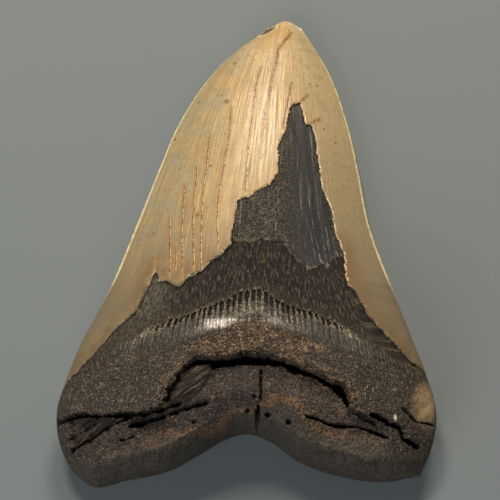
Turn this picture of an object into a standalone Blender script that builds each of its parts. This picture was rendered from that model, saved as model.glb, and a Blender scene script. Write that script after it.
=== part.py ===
"""A fossil megalodon tooth, lying on its flat labial face.

Metres, +Z up. The root points to -Y, the tip to +Y, and the curved lingual face looks up.
The plan of the tooth is drawn in millimetres, seen from above, and turned to metres at the end.
"""

import bpy
import bmesh
import numpy as np
from mathutils import Vector, noise

# Driving dimensions, in metres
TOOTH_LENGTH = 0.142
TOOTH_WIDTH = 0.107
TOOTH_THICKNESS = 0.0315
RESTING_FLATNESS = 0.00002  # what lies lower than this is made quite flat
MM = 0.001

# Sizes on the plan, in millimetres
ENAMEL_THICKNESS = 1.1      # step from the enamel down to the bare dentine
LIP_HEIGHT = 3.2            # the broken lip of the root above the torus
GAP_DEPTH = 7.0             # the black gap under the lip, below the torus
COMB_PITCH = 1.8            # from pit to pit along the top of the bourlette
COMB_DEPTH = 1.1
LUMP_SIZE = 11.0            # wavelength of the root's lumps
LUMP_HEIGHT = 0.55
GRAIN_SIZE = 3.2
GRAIN_HEIGHT = 0.3

# How finely the surface is laid out before it is simplified
COLUMNS = 230
ROWS = 250
TRIANGLES = 9700

# Outline seen from above as (x, y, height of the edge), from the root's corners to the tip
LEFT_EDGE = [(-48.8, -67.2, 6), (-51.6, -62, 9), (-53.2, -51, 12), (-51, -43, 12),
             (-46.8, -30.5, 9.5), (-43, -22.5, 8.5), (-39.8, -15, 8), (-31.8, 6.5, 6.5),
             (-26, 22.5, 6), (-20.2, 37.3, 5.5), (-10.8, 52.8, 5), (-4, 60.4, 4.8),
             (1.2, 63.4, 4.6), (4.4, 65.6, 4.5)]
RIGHT_EDGE = [(48.8, -68.2, 6), (51.6, -62, 9), (53.3, -51.5, 12), (50.8, -41, 12),
              (47.2, -29.8, 9.5), (42.4, -15, 8), (35.6, 6.5, 6.5), (33, 22, 6),
              (30, 37.2, 5.5), (24.6, 54, 5), (16.5, 68.6, 4.5)]
BASE_EDGE = [(-48.8, -67.2, 6), (-43, -71, 4), (-34.5, -69.2, 3), (-21, -66, 3), (-13.5, -61.8, 3),
             (-6.5, -57.6, 3), (0.5, -55.7, 3), (6.8, -58, 3), (15, -63.8, 3), (27, -68, 3),
             (39, -69.6, 4), (48.8, -68.2, 6)]
TIP_EDGE = [(4.4, 65.6, 4.5), (5, 67.6, 4.5), (8, 69.4, 4.5), (11.8, 71, 4.5), (16.5, 68.6, 4.5)]

# Height of the tooth's middle line along its length, as (y, height)
CREST = [(-71, 26), (-60, 27.5), (-50, 29.5), (-41, 31), (-33, 30.5), (-22, 27.5), (-10, 24.5),
         (5, 21.5), (25, 17.5), (45, 13.2), (60, 9.2), (71, 5.5)]

# The jagged edge of the enamel, from the left shoulder up to the spike and down to the right
ENAMEL_BREAK = [(-51.5, -46), (-46.5, -40), (-41.5, -35.5), (-37, -30.5), (-34, -27), (-31, -24),
                (-28, -16.5), (-27, -13.5), (-26, -10.5), (-24.8, -15), (-22.7, -15), (-20, -17),
                (-19, -17.8), (-17, -15), (-12.8, -12.6), (-9.2, -9), (-7, -8), (-4.4, -4.5),
                (-4, 0), (-2.6, 9), (0.7, 10.2), (3.6, 12.5), (6.8, 14.2), (9, 18), (9.7, 24),
                (8.9, 25.6), (11.6, 33), (13.4, 41.4), (15.8, 41.8), (16.4, 39.7), (17.8, 35),
                (19.1, 35), (20.3, 30.5), (21.3, 21.4), (22, 14.7), (24.6, 8.4), (26, -0.7),
                (28, -4.6), (28.3, -11), (28.7, -15.5), (31.2, -18), (33.7, -24.7), (38, -30),
                (43.5, -35.7), (50, -40.5)]
BELOW_BREAK = [(60, -50), (60, -90), (-60, -90), (-60, -50)]

# Top of the bourlette, the band between crown and root, and the part of it that has pits
BOURLETTE_TOP = [(-47, -42), (-37, -35.5), (-28, -30.5), (-20, -27.5), (-10, -23.5), (-2, -20),
                 (3, -18), (6.6, -20.3), (11.6, -23.3), (19.6, -26), (26.5, -29.3), (37, -35),
                 (46, -40)]
BOURLETTE_HEIGHT = 0.9
COMB_MIDDLE = 57            # distance along the band to its middle
COMB_REACH = 27             # pits reach this far either side of the middle

# The lip that hangs over the torus, and the torus's upper edge below it
LIP = [(-18, -46), (-17, -42.5), (-14, -39), (-9.5, -39.2), (-5, -39), (0, -38), (6, -38.7),
       (11, -39.8), (14.5, -41.5), (20, -43.8), (23, -45.7), (27, -46.5), (28.5, -50), (28.3, -53.3)]
TORUS_TOP = [(28, -53), (25.5, -49.8), (22, -47.3), (19, -45.2), (13, -44), (10.4, -42.6),
             (6, -42), (-3, -42.6), (-8.4, -43.6), (-13, -47), (-17.7, -49.3)]
BELOW_TORUS = [(40, -58), (44, -80), (-44, -80), (-36, -58), (-24, -52)]
LIP_FADE = (5, 15)          # the hollow runs out over these distances from the lip

# Cracks in the root as (points, half width, depth)
CRACKS = [
    ([(-53, -55), (-46, -54), (-41.5, -54.6), (-32.5, -55), (-24, -53.8), (-18.5, -52)], 0.9, 4),
    ([(-33, -56), (-38, -57.8), (-43, -60.7)], 0.9, 3),
    ([(-42, -57.2), (-48, -62)], 0.6, 2),
    ([(-32, -58), (-25.4, -56), (-17, -53.5), (-10.5, -52)], 0.7, 3),
    ([(28.5, -53.2), (33.2, -55.7), (35.4, -56.6)], 0.6, 2),
    ([(34.6, -54.4), (39.4, -56.7), (42.5, -57.7), (43.9, -60.5), (48.2, -62)], 1.1, 4),
    ([(43.3, -51.9), (47.4, -55.7), (52.1, -55.5)], 0.5, 1.5),
    ([(16.4, -55.7), (24.7, -57.7), (30.8, -57.8), (39.2, -60.5)], 0.7, 2.5),
    ([(4, -42.6), (3.9, -50.2), (3.2, -54.7), (1, -58.7)], 0.6, 3),
]
LEFT_WEDGE = [(-43.5, -54.6), (-32.5, -55), (-35, -56.5), (-43.5, -60.7)]
WEDGE_DEPTH = 3.5

# The hollow left by a flake off the left side of the tip
TIP_CHIP = (5.5, 68.5)
CHIP_RADIUS = 4.2
CHIP_DEPTH = 2.2


def smoothstep(low, high, value):
    """Rises smoothly from 0 at low to 1 at high."""
    t = np.clip((value - low) / (high - low), 0, 1)
    return t * t * (3 - 2 * t)


def curve(points, t):
    """Points at fractions t along a smooth curve through the given points."""
    points = np.array(points, float)
    steps = np.linalg.norm(np.diff(points[:, :2], axis=0), axis=1)
    knots = np.concatenate([[0], np.cumsum(steps)]) / steps.sum()
    gaps = np.diff(knots)[:, None]
    slopes = np.diff(points, axis=0) / gaps
    tangents = np.empty_like(points)
    tangents[0] = slopes[0]
    tangents[-1] = slopes[-1]
    tangents[1:-1] = (slopes[1:] * gaps[:-1] + slopes[:-1] * gaps[1:]) / (gaps[1:] + gaps[:-1])
    index = np.clip(np.searchsorted(knots, t, side="right") - 1, 0, len(points) - 2)
    gap = gaps[index]
    s = (t - knots[index])[..., None] / gap
    start = (1 + 2 * s) * (1 - s) ** 2 * points[index] + s * (1 - s) ** 2 * gap * tangents[index]
    end = s ** 2 * (3 - 2 * s) * points[index + 1] - s ** 2 * (1 - s) * gap * tangents[index + 1]
    return start + end


def plan(u, v):
    """Place on the plan and edge height at u, left to right, and v, base to tip."""
    left, right = curve(LEFT_EDGE, v), curve(RIGHT_EDGE, v)
    base, tip = curve(BASE_EDGE, u), curve(TIP_EDGE, u)
    corners = [np.array(points[i], float) for points in (BASE_EDGE, TIP_EDGE) for i in (0, -1)]
    u = u[..., None]
    v = v[..., None]
    corner_part = (1 - v) * ((1 - u) * corners[0] + u * corners[1])
    corner_part = corner_part + v * ((1 - u) * corners[2] + u * corners[3])
    return (1 - u) * left + u * right + (1 - v) * base + v * tip - corner_part


def distance_along(points, x, y):
    """Distance to a line of points, and the length along it of the nearest point."""
    nearest = np.full(x.shape, np.inf)
    along = np.zeros(x.shape)
    travelled = 0.0
    for (ax, ay), (bx, by) in zip(points[:-1], points[1:]):
        dx, dy = bx - ax, by - ay
        length = np.hypot(dx, dy)
        t = np.clip(((x - ax) * dx + (y - ay) * dy) / length ** 2, 0, 1)
        gap = np.hypot(x - ax - t * dx, y - ay - t * dy)
        closer = gap < nearest
        nearest = np.where(closer, gap, nearest)
        along = np.where(closer, travelled + t * length, along)
        travelled += length
    return nearest, along


def depth_inside(polygon, x, y):
    """Distance to a polygon's sides, positive inside it and negative outside."""
    closed = list(polygon) + [polygon[0]]
    distance, _ = distance_along(closed, x, y)
    inside = np.zeros(x.shape, bool)
    for (ax, ay), (bx, by) in zip(closed[:-1], closed[1:]):
        if ay == by:
            continue
        crosses = (ay > y) != (by > y)
        inside ^= crosses & (x < ax + (y - ay) * (bx - ax) / (by - ay))
    return np.where(inside, distance, -distance)


def lumps(x, y, size, layer):
    """Smooth noise between about -1 and 1, of the given wavelength."""
    values = [noise.noise(Vector((px / size, py / size, layer))) for px, py in zip(x.flat, y.flat)]
    return np.array(values).reshape(x.shape)


def upper_form(u, v, x, y, edge):
    """The lingual face before its damage: a full, steep-sided root under a lens-shaped crown."""
    crest = np.interp(y, *zip(*CREST))
    crown = smoothstep(-30, -5, y)
    across = np.abs(2 * u - 1)
    fullness = 2.8 - 0.9 * crown
    roundness = 1 / (2.2 - 1.05 * crown)
    side = (1 - across ** fullness) ** roundness
    wall_width = 4.6 - 1.8 * np.exp(-((x - 1) / 12) ** 2)
    from_base = np.clip(v * TOOTH_LENGTH / MM / wall_width, 0, 1)
    wall = 0.8 * (1 - (1 - from_base) ** 2.4) ** (1 / 2.4)
    shelf = 0.2 * smoothstep(0.6, 3.6, v * TOOTH_LENGTH / MM / wall_width)
    tip = (1 - smoothstep(0.93, 1.0, v)) ** 0.5
    return edge + (crest - edge) * side * (wall + shelf) * tip


def lower_form(u, v, edge):
    """The labial face: flat on the ground in the middle, and curling up to the edges."""
    across = np.abs(2 * u - 1)
    side = np.clip((across - 0.4) / 0.6, 0, 1) ** 2.2
    base = np.clip(1 - v * 22, 0, 1) ** 2
    tip = np.clip(1 - (1 - v) * 10, 0, 1) ** 2
    return edge * (1 - (1 - side) * (1 - base) * (1 - tip))


def enamel_step(x, y):
    """How far the bare dentine lies below the enamel."""
    bare = depth_inside(ENAMEL_BREAK + BELOW_BREAK, x, y)
    below_crown = smoothstep(-22, -34, y)
    return ENAMEL_THICKNESS * smoothstep(-0.3, 0.5, bare) * (1 - 0.6 * below_crown)


def bourlette(x, y):
    """A low step with a row of pits like a comb where the enamel has come off the band."""
    _, along = distance_along(BOURLETTE_TOP, x, y)
    below = np.interp(x, *zip(*BOURLETTE_TOP)) - y
    band = smoothstep(-0.6, 1.2, below) * (1 - smoothstep(4, 14, below))
    reach = 1 - smoothstep(COMB_REACH - 8, COMB_REACH, np.abs(along - COMB_MIDDLE))
    pit_shape = np.cos(2 * np.pi * along / COMB_PITCH) * 0.5 + 0.5
    pits = pit_shape * smoothstep(0, 0.8, below) * (1 - smoothstep(2.2, 3.4, below))
    return BOURLETTE_HEIGHT * band - COMB_DEPTH * pits * reach


def broken_root(x, y):
    """The hollow left where the root has split off under the lip, and the gap behind it."""
    hollow = depth_inside(LIP + BELOW_TORUS, x, y)
    gap = depth_inside(LIP + TORUS_TOP, x, y)
    from_lip, _ = distance_along(LIP, x, y)
    floor = LIP_HEIGHT * smoothstep(0, 0.9, hollow) * (1 - smoothstep(*LIP_FADE, from_lip))
    cut = GAP_DEPTH * smoothstep(0, 0.7, gap) * (1 - smoothstep(1.2, 4.5, from_lip))
    rolled_lip = 0.8 * np.exp(-(from_lip / 2.5) ** 2) * (hollow < 0)
    return rolled_lip - floor - cut


def cracks(x, y):
    """Every crack of the root, and the dark wedge between two of them on the left lobe."""
    total = np.zeros(x.shape)
    for points, half_width, depth in CRACKS:
        distance, _ = distance_along(points, x, y)
        total = np.maximum(total, depth * (1 - smoothstep(0.2 * half_width, half_width, distance)))
    wedge = WEDGE_DEPTH * smoothstep(0, 1.2, depth_inside(LEFT_WEDGE, x, y))
    return np.maximum(total, wedge)


def tip_chip(x, y):
    """The small hollow where a flake is missing beside the tip."""
    distance = np.hypot(x - TIP_CHIP[0], y - TIP_CHIP[1])
    return CHIP_DEPTH * (1 - smoothstep(0.3, 1, distance / CHIP_RADIUS))


def upper_height(u, v, x, y, edge):
    """Height of the lingual face with everything that is on it."""
    height = upper_form(u, v, x, y, edge)
    root = smoothstep(-24, -34, y)
    across = np.abs(2 * u - 1)
    inner = smoothstep(0, 3, v * TOOTH_LENGTH / MM) * smoothstep(1, 0.94, across)
    relief = bourlette(x, y) + broken_root(x, y) - cracks(x, y) - tip_chip(x, y) - enamel_step(x, y)
    relief = relief + root * LUMP_HEIGHT * lumps(x, y, LUMP_SIZE, 0.0)
    relief = relief + root * GRAIN_HEIGHT * lumps(x, y, GRAIN_SIZE, 5.0)
    return np.maximum(height + inner * relief, edge)


def grid_places():
    """u and v of every row and column, closer together at the sides and the base."""
    s = np.linspace(0, 1, COLUMNS + 1)
    t = np.linspace(0, 1, ROWS + 1)
    u = 0.7 * s + 0.3 * (0.5 - 0.5 * np.cos(np.pi * s))
    v = 0.6 * t + 0.4 * t ** 2.2
    return s, t, u, v


def add_face(bm, height, reverse):
    """One face of the tooth: a plain grid whose vertices move to their places."""
    first = len(bm.verts)
    made = bmesh.ops.create_grid(bm, x_segments=COLUMNS, y_segments=ROWS, size=0.5)
    verts = made["verts"]
    s_lines, t_lines, u_lines, v_lines = grid_places()
    s = np.round([(vert.co.x + 0.5) * COLUMNS for vert in verts]) / COLUMNS
    t = np.round([(vert.co.y + 0.5) * ROWS for vert in verts]) / ROWS
    u = np.interp(s, s_lines, u_lines)
    v = np.interp(t, t_lines, v_lines)
    place = plan(u, v)
    z = height(u, v, place[:, 0], place[:, 1], place[:, 2])
    for vert, px, py, pz in zip(verts, place[:, 0], place[:, 1], z):
        vert.co = (px * MM, py * MM, pz * MM)
    if reverse:
        bm.verts.ensure_lookup_table()
        mine = set(bm.verts[first:])
        faces = [face for face in bm.faces if face.verts[0] in mine]
        bmesh.ops.reverse_faces(bm, faces=faces)


def fit_to_size(mesh):
    """Stands the mesh on z = 0, centres it in x and y, and gives it the driving dimensions."""
    points = np.empty(len(mesh.vertices) * 3)
    mesh.vertices.foreach_get("co", points)
    points = points.reshape(-1, 3)
    low, high = points.min(axis=0), points.max(axis=0)
    size = np.array([TOOTH_WIDTH, TOOTH_LENGTH, TOOTH_THICKNESS])
    origin = np.array([(low[0] + high[0]) / 2, (low[1] + high[1]) / 2, low[2]])
    points = (points - origin) * size / (high - low)
    points[points[:, 2] < RESTING_FLATNESS, 2] = 0
    mesh.vertices.foreach_set("co", points.ravel())
    mesh.update()


def fossil_material():
    """Dark mineral-stained fossil, duller than the honey-coloured enamel above it."""
    material = bpy.data.materials.new("fossil")
    material.use_nodes = True
    shader = material.node_tree.nodes["Principled BSDF"]
    shader.inputs["Base Color"].default_value = (0.13, 0.10, 0.075, 1)
    shader.inputs["Roughness"].default_value = 0.45
    shader.inputs["Metallic"].default_value = 0
    return material


def make_tooth(collection):
    """The whole tooth as one closed solid."""
    bm = bmesh.new()
    add_face(bm, upper_height, reverse=False)
    add_face(bm, lambda u, v, x, y, edge: lower_form(u, v, edge), reverse=True)
    bmesh.ops.remove_doubles(bm, verts=bm.verts, dist=0.000001)
    fine_mesh = bpy.data.meshes.new("tooth_fine")
    bm.to_mesh(fine_mesh)
    bm.free()

    fine = bpy.data.objects.new("tooth_fine", fine_mesh)
    collection.objects.link(fine)
    fewer = fine.modifiers.new("fewer_faces", "DECIMATE")
    fewer.ratio = TRIANGLES / (2 * len(fine_mesh.polygons))
    fewer.use_collapse_triangulate = True
    bpy.context.view_layer.update()
    simple = fine.evaluated_get(bpy.context.evaluated_depsgraph_get())
    mesh = bpy.data.meshes.new_from_object(simple)
    bpy.data.objects.remove(fine)

    mesh.name = "tooth"
    fit_to_size(mesh)
    mesh.materials.clear()
    mesh.materials.append(fossil_material())
    mesh.shade_smooth()
    mesh.set_sharp_from_angle(angle=np.radians(50))
    tooth = bpy.data.objects.new("tooth", mesh)
    collection.objects.link(tooth)
    return tooth


def main():
    for old in list(bpy.data.objects):
        bpy.data.objects.remove(old)
    collection = bpy.data.collections.new("megalodon_tooth")
    bpy.context.scene.collection.children.link(collection)
    make_tooth(collection)


main()
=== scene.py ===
"""A fossil megalodon tooth lying on its flat labial face: its finish, its light and its camera.

The plan of the tooth is drawn in millimetres, seen from above, with the root towards -Y.
"""

import math

import bpy
import bmesh
import numpy as np
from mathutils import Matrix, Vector, noise


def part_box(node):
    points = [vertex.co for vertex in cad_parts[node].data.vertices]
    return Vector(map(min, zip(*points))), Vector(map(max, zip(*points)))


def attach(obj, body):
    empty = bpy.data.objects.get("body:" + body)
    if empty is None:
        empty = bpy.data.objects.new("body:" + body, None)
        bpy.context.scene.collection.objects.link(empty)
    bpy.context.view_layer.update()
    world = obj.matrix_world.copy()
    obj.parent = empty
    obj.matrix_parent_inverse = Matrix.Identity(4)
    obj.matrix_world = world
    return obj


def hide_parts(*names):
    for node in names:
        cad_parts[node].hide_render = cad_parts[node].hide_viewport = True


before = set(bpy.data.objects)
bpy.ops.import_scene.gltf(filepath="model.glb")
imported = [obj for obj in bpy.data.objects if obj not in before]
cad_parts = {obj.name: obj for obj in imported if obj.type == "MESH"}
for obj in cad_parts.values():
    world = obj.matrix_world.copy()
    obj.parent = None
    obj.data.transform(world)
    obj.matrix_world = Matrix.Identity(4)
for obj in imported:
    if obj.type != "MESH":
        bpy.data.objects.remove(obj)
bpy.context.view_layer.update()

MM = 0.001
LENGTH_MM = 142.0

# Camera: above the tooth and a little to its root side, as the photograph looks at it
CAMERA_ELEVATION = 74.0
CAMERA_DISTANCE = 0.540
CAMERA_TARGET = (0.0010, -0.0028, 0.010)
FIELD_HEIGHT = 0.145

ROOM_COLOUR = "#c8ccca"
ROOM_STRENGTH = 0.14
FLOOR_COLOUR = "#757f84"
FLOOR_ROUGHNESS = 0.9

# Sizes on the tooth, in millimetres
ENAMEL_THICKNESS = 0.8      # at the broken edge
ENAMEL_CRACK_DEPTH = 0.06
FRACTURE_STEP = 0.5         # down from the upper to the lower dentine
FRACTURE_RIDGE = 0.3
BAND_HEIGHT = 0.9
COMB_PITCH = 1.65
COMB_DEPTH = 1.3
GROOVE_DEPTH = 0.25
LIP_HEIGHT = 3.2
LIP_ROLL = 0.8              # how far the lip's edge stands proud
LIP_UNDERCUT = 1.2
GAP_DEPTH = 7.0
LAYER_HEIGHT = 0.4          # of the thin layers in broken root tissue
CREASE_DEPTH = 0.35         # between the bourlette's ends and the root
SERRATION_DEPTH = 0.2
STRAIGHT_BELOW = 2.0        # a cut goes straight down from this depth on
STEEPEST = 0.25             # least upward part of the direction that relief is raised in

# Unevenness of a surface as (wavelength, height, layer of noise)
ROOT_LUMPS = [(11.0, 0.55, 0.0), (3.2, 0.3, 5.0)]
ROOT_GRAIN = [(1.4, 0.22, 6.0), (0.7, 0.12, 9.0)]
DENTINE_GRAIN = [(0.8, 0.07, 10.0)]

# Mesh: rows run across the tooth, and in the crown every second row is the point of a serration
COLUMNS = 220
ROOT_ROWS = 92
CROWN_ROWS = 302
SHOULDER = 0.17             # share of the edge's length below the enamel
BACK_FACES = 20000
SHARP_ANGLE = 35            # degrees between faces from which a broken edge looks sharp
MEAN_WIDTH = 70.0           # width in millimetres that patterns along the growth are drawn for
FAR = 60.0                  # a distance that no finish reaches

# Distances and shares that every vertex keeps for the finish
MEASURES = ("bare", "fracture", "below_fracture", "below_band", "band_along", "comb", "grooves",
            "below_margin", "from_middle", "hollow", "gap", "from_lip", "strands", "pocket",
            "layers", "ochre", "basal", "right_lobe", "crack", "enamel_crack", "crack_side",
            "spot", "chip", "fleck", "above_edge")

# Values that follow the mesh: growth across the tooth, distance from its sides, and which face
ON_MESH = ("flow", "rim", "side", "up")

# Line between enamel and root on the labial face
LABIAL_LINE_TOP = -33
LABIAL_LINE_ARCH = 10

# Outline seen from above as (x, y, height of the edge), from the root's corners to the tip
LEFT_EDGE = [(-48.8, -67.2, 6), (-51.6, -62, 9), (-53.2, -51, 12), (-51, -43, 12),
             (-46.8, -30.5, 9.5), (-43, -22.5, 8.5), (-39.8, -15, 8), (-31.8, 6.5, 6.5),
             (-26, 22.5, 6), (-20.2, 37.3, 5.5), (-10.8, 52.8, 5), (-4, 60.4, 4.8),
             (1.2, 63.4, 4.6), (4.4, 65.6, 4.5)]
RIGHT_EDGE = [(48.8, -68.2, 6), (51.6, -62, 9), (53.3, -51.5, 12), (50.8, -41, 12),
              (47.2, -29.8, 9.5), (42.4, -15, 8), (35.6, 6.5, 6.5), (33, 22, 6),
              (30, 37.2, 5.5), (24.6, 54, 5), (16.5, 68.6, 4.5)]
BASE_EDGE = [(-48.8, -67.2, 6), (-43, -71, 4), (-34.5, -69.2, 3), (-21, -66, 3), (-13.5, -61.8, 3),
             (-6.5, -57.6, 3), (0.5, -55.7, 3), (6.8, -58, 3), (15, -63.8, 3), (27, -68, 3),
             (39, -69.6, 4), (48.8, -68.2, 6)]
TIP_EDGE = [(4.4, 65.6, 4.5), (5, 67.6, 4.5), (8, 69.4, 4.5), (11.8, 71, 4.5), (16.5, 68.6, 4.5)]
CREST = [(-71, 26), (-60, 27.5), (-50, 29.5), (-41, 31), (-33, 30.5), (-22, 27.5), (-10, 24.5),
         (5, 21.5), (25, 17.5), (45, 13.2), (60, 9.2), (71, 5.5)]

# The broken edge of the enamel, from the left shoulder up to the spike and down to the right
ENAMEL_BREAK = [(-51.5, -46), (-46.5, -40), (-41.5, -35.5), (-37, -30.5), (-34, -27), (-31, -24),
                (-28, -16.5), (-27, -13.5), (-26, -10.5), (-24.8, -15), (-22.7, -15), (-20, -17),
                (-19, -17.8), (-17, -15), (-12.8, -12.6), (-9.2, -9), (-7, -8), (-4.4, -4.5),
                (-4, 0), (-2.6, 9), (0.7, 10.2), (3.6, 12.5), (6.8, 14.2), (9, 18), (9.7, 24),
                (8.9, 25.6), (11.6, 33), (13.4, 41.4), (15.8, 41.8), (16.4, 39.7), (17.8, 35),
                (19.1, 35), (20.3, 30.5), (21.3, 21.4), (22, 14.7), (24.6, 8.4), (26, -0.7),
                (28, -4.6), (28.3, -11), (28.7, -15.5), (31.2, -18), (33.7, -24.7), (38, -30),
                (43.5, -35.7), (50, -40.5)]
BELOW_BREAK = [(60, -50), (60, -90), (-60, -90), (-60, -50)]

# The bourlette is the band between crown and root; pits run along its top like a comb
BOURLETTE_TOP = [(-47, -42), (-37, -35.5), (-28, -30.5), (-20, -27.5), (-10, -23.5), (-2, -20),
                 (3, -18), (6.6, -20.3), (11.6, -23.3), (19.6, -26), (26.5, -29.3), (37, -35),
                 (46, -40)]
BAND_WIDTH = 92             # width of the tooth at the bourlette
COMB_REACH = 32
ROOT_MARGIN = [(-60, -52), (-50, -44), (-46, -43), (-41.7, -40.4), (-38.6, -38.8), (-34.6, -37.6),
               (-28, -37), (-18, -37.4), (0, -36.4), (20, -37.5), (33, -38.6), (41, -40.5),
               (50, -46), (60, -54)]

# The lip that hangs over the torus, and the torus's upper edge below it
LIP = [(-22.5, -51), (-20.5, -46.5), (-17.5, -42.5), (-14, -39), (-9.5, -39.2), (-5, -39),
       (0, -38), (6, -38.7), (11, -39.8), (14.5, -41.5), (20, -43.8), (23, -45.7), (27, -46.5),
       (28.5, -50), (28.3, -53.3)]
TORUS_TOP = [(28, -52.8), (25.8, -49.2), (22, -46.5), (19, -44.5), (13, -43.2), (10.4, -41.8),
             (6, -41), (-3, -41.2), (-8.4, -42), (-13, -45.5), (-18, -49.5), (-22, -51.8)]
BELOW_TORUS = [(40, -58), (44, -80), (-44, -80), (-36, -58), (-24, -52.5)]
LIP_FADE = (5, 15)
LEFT_POCKET = [(-22.5, -52), (-20.5, -46.5), (-17.5, -42.5), (-14, -40), (-9.5, -40.5),
               (-9, -43.5), (-13.5, -49)]

# Ochre line where the root's upper lumps turn down to its smooth basal face
OCHRE_LINE = [(-38, -65), (-27.7, -62), (-21.1, -59.4), (-17.7, -60.3), (-12, -59.3), (-8.4, -58),
              (-6.4, -56), (-2.9, -53), (0.7, -53.6), (5.1, -51.6), (8.7, -51.1), (12.8, -51.6),
              (16.4, -56.3), (19.7, -58.7), (24.7, -60), (33, -60.6), (44, -62.5)]

# Cracks in the root as (points, half width, depth)
CRACKS = [
    ([(-53, -55), (-46, -54), (-41.5, -54.6), (-32.5, -55), (-24, -53.8), (-18.5, -52)], 0.65, 4),
    ([(-33, -56), (-38, -57.8), (-43, -60.7), (-49, -63.2)], 0.5, 3),
    ([(-42, -56.6), (-49.5, -60)], 0.4, 3),
    ([(-32, -58), (-25.4, -56), (-17, -53.5), (-10.5, -52)], 0.6, 3),
    ([(-34.5, -61.3), (-31, -60.6)], 0.3, 1),
    ([(28.5, -53.2), (33.2, -55.7), (35.4, -56.6)], 0.5, 2),
    ([(34.6, -54.4), (39.4, -56.7), (42.5, -57.7), (43.9, -60.5), (48.2, -62)], 0.7, 4),
    ([(43.3, -51.9), (47.4, -55.7), (52.1, -55.5)], 0.3, 1.5),
    ([(16.4, -55.7), (24.7, -57.7), (30.8, -57.8), (39.2, -60.5)], 0.35, 2.5),
    ([(4, -42.6), (3.9, -50.2), (3.4, -53.5)], 0.16, 2),
    ([(3.4, -52.5), (2.9, -55.5), (0.4, -59.2)], 0.45, 3),
]
LEFT_WEDGE = [(-50, -54.8), (-32.5, -55), (-35, -56.5), (-43, -60.5), (-49.5, -62.8)]
WEDGE_DEPTH = 2.2
PORES = [(-14.1, -56.8, 0.6), (2.2, -50.5, 0.45), (0.4, -53.6, 0.7), (5.7, -54.8, 0.8),
         (11.4, -56.7, 0.75)]
PORE_DEPTH = 1.5

# Growth cracks that run up the enamel and draw together towards the tip, as (half width, points)
ENAMEL_CRACKS = [
    (0.38, [(13.4, 66.2), (11.2, 63), (9.4, 60), (8.8, 56), (7.2, 47), (5.4, 37), (4.2, 22.6)]),
    (0.24, [(4, 53.7), (2.8, 48), (1.6, 38), (0.7, 30), (-0.4, 12)]),
    (0.18, [(-4.6, 40), (-5.1, 32), (-6.3, 23), (-7.9, 12.3), (-8.4, 4), (-8.1, -6)]),
    (0.16, [(-11, 30), (-11.5, 22), (-12.6, 12.8), (-13, 2.5), (-12.9, -7.7), (-12.8, -12)]),
    (0.17, [(-14.3, 21), (-14.9, 13), (-15.3, 2.7), (-14.9, -12.5)]),
    (0.14, [(-17.9, 15.6), (-18.5, 3.2), (-18.1, -15)]),
    (0.14, [(-22.1, 5.4), (-21.7, -14)]),
    (0.2, [(13.5, 48.4), (11.6, 38.3), (10.8, 33)]),
    (0.12, [(-20.2, -3), (-20, -12)]),
    (0.14, [(-26.4, -6), (-26.1, -10)]),
    (0.25, [(15.8, 41.8), (18, 44.5)]),
    (0.25, [(19.1, 35), (20.3, 36.4), (21.6, 37)]),
]

# Orange and brown spots in the enamel as (x, y, radius)
SPOTS = [(-5.8, 42.1, 1.0), (-7.3, 44.4, 0.5), (-3.5, 55.7, 0.7), (-21.2, 32.2, 0.6),
         (-14.2, 43.7, 0.5), (-26.7, 1.4, 0.6), (-14.1, 5.2, 1.0), (-10.3, 20.8, 0.7),
         (18.6, 48.5, 0.5), (21, 48.4, 0.5), (22.8, 34.1, 0.5), (26.2, 30.1, 0.5)]

# The fracture that crosses the bare dentine, with paler dentine above it
DENTINE_FRACTURE = [(-2, -3.3), (6.7, -3.2), (10.7, -3.4), (11.8, -6), (14, -8), (17.7, -11.2),
                    (20, -10.4), (21.8, -8.8), (23.4, -10), (25.5, -6)]

# Ochre end of the right lobe as (x, y, half width, half height)
RIGHT_LOBE = (50, -50.5, 4.5, 7)

# Small near-white spot beside a crack as (x, y, half width, half height)
FLECK = (41.2, -54.8, 0.5, 1.1)

# Chip beside the tip as (x, y, direction in radians)
TIP_CHIP = (6.5, 67.9, 0.65)
CHIP_LENGTH = 6.4
CHIP_WIDTH = 2.4
CHIP_DEPTH = 0.9


def smoothstep(low, high, value):
    """Rises smoothly from 0 at low to 1 at high."""
    t = np.clip((value - low) / (high - low), 0, 1)
    return t * t * (3 - 2 * t)


def curve(points, t):
    """Points at fractions t along a smooth curve through the given points."""
    points = np.array(points, float)
    steps = np.linalg.norm(np.diff(points[:, :2], axis=0), axis=1)
    knots = np.concatenate([[0], np.cumsum(steps)]) / steps.sum()
    gaps = np.diff(knots)[:, None]
    slopes = np.diff(points, axis=0) / gaps
    tangents = np.empty_like(points)
    tangents[0] = slopes[0]
    tangents[-1] = slopes[-1]
    tangents[1:-1] = (slopes[1:] * gaps[:-1] + slopes[:-1] * gaps[1:]) / (gaps[1:] + gaps[:-1])
    index = np.clip(np.searchsorted(knots, t, side="right") - 1, 0, len(points) - 2)
    gap = gaps[index]
    s = (t - knots[index])[..., None] / gap
    start = (1 + 2 * s) * (1 - s) ** 2 * points[index] + s * (1 - s) ** 2 * gap * tangents[index]
    end = s ** 2 * (3 - 2 * s) * points[index + 1] - s ** 2 * (1 - s) * gap * tangents[index + 1]
    return start + end


def plan(u, v):
    """Place on the plan and edge height at u, left to right, and v, base to tip."""
    left, right = curve(LEFT_EDGE, v), curve(RIGHT_EDGE, v)
    base, tip = curve(BASE_EDGE, u), curve(TIP_EDGE, u)
    corners = [np.array(points[i], float) for points in (BASE_EDGE, TIP_EDGE) for i in (0, -1)]
    u = u[..., None]
    v = v[..., None]
    corner_part = (1 - v) * ((1 - u) * corners[0] + u * corners[1])
    corner_part = corner_part + v * ((1 - u) * corners[2] + u * corners[3])
    return (1 - u) * left + u * right + (1 - v) * base + v * tip - corner_part


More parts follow.
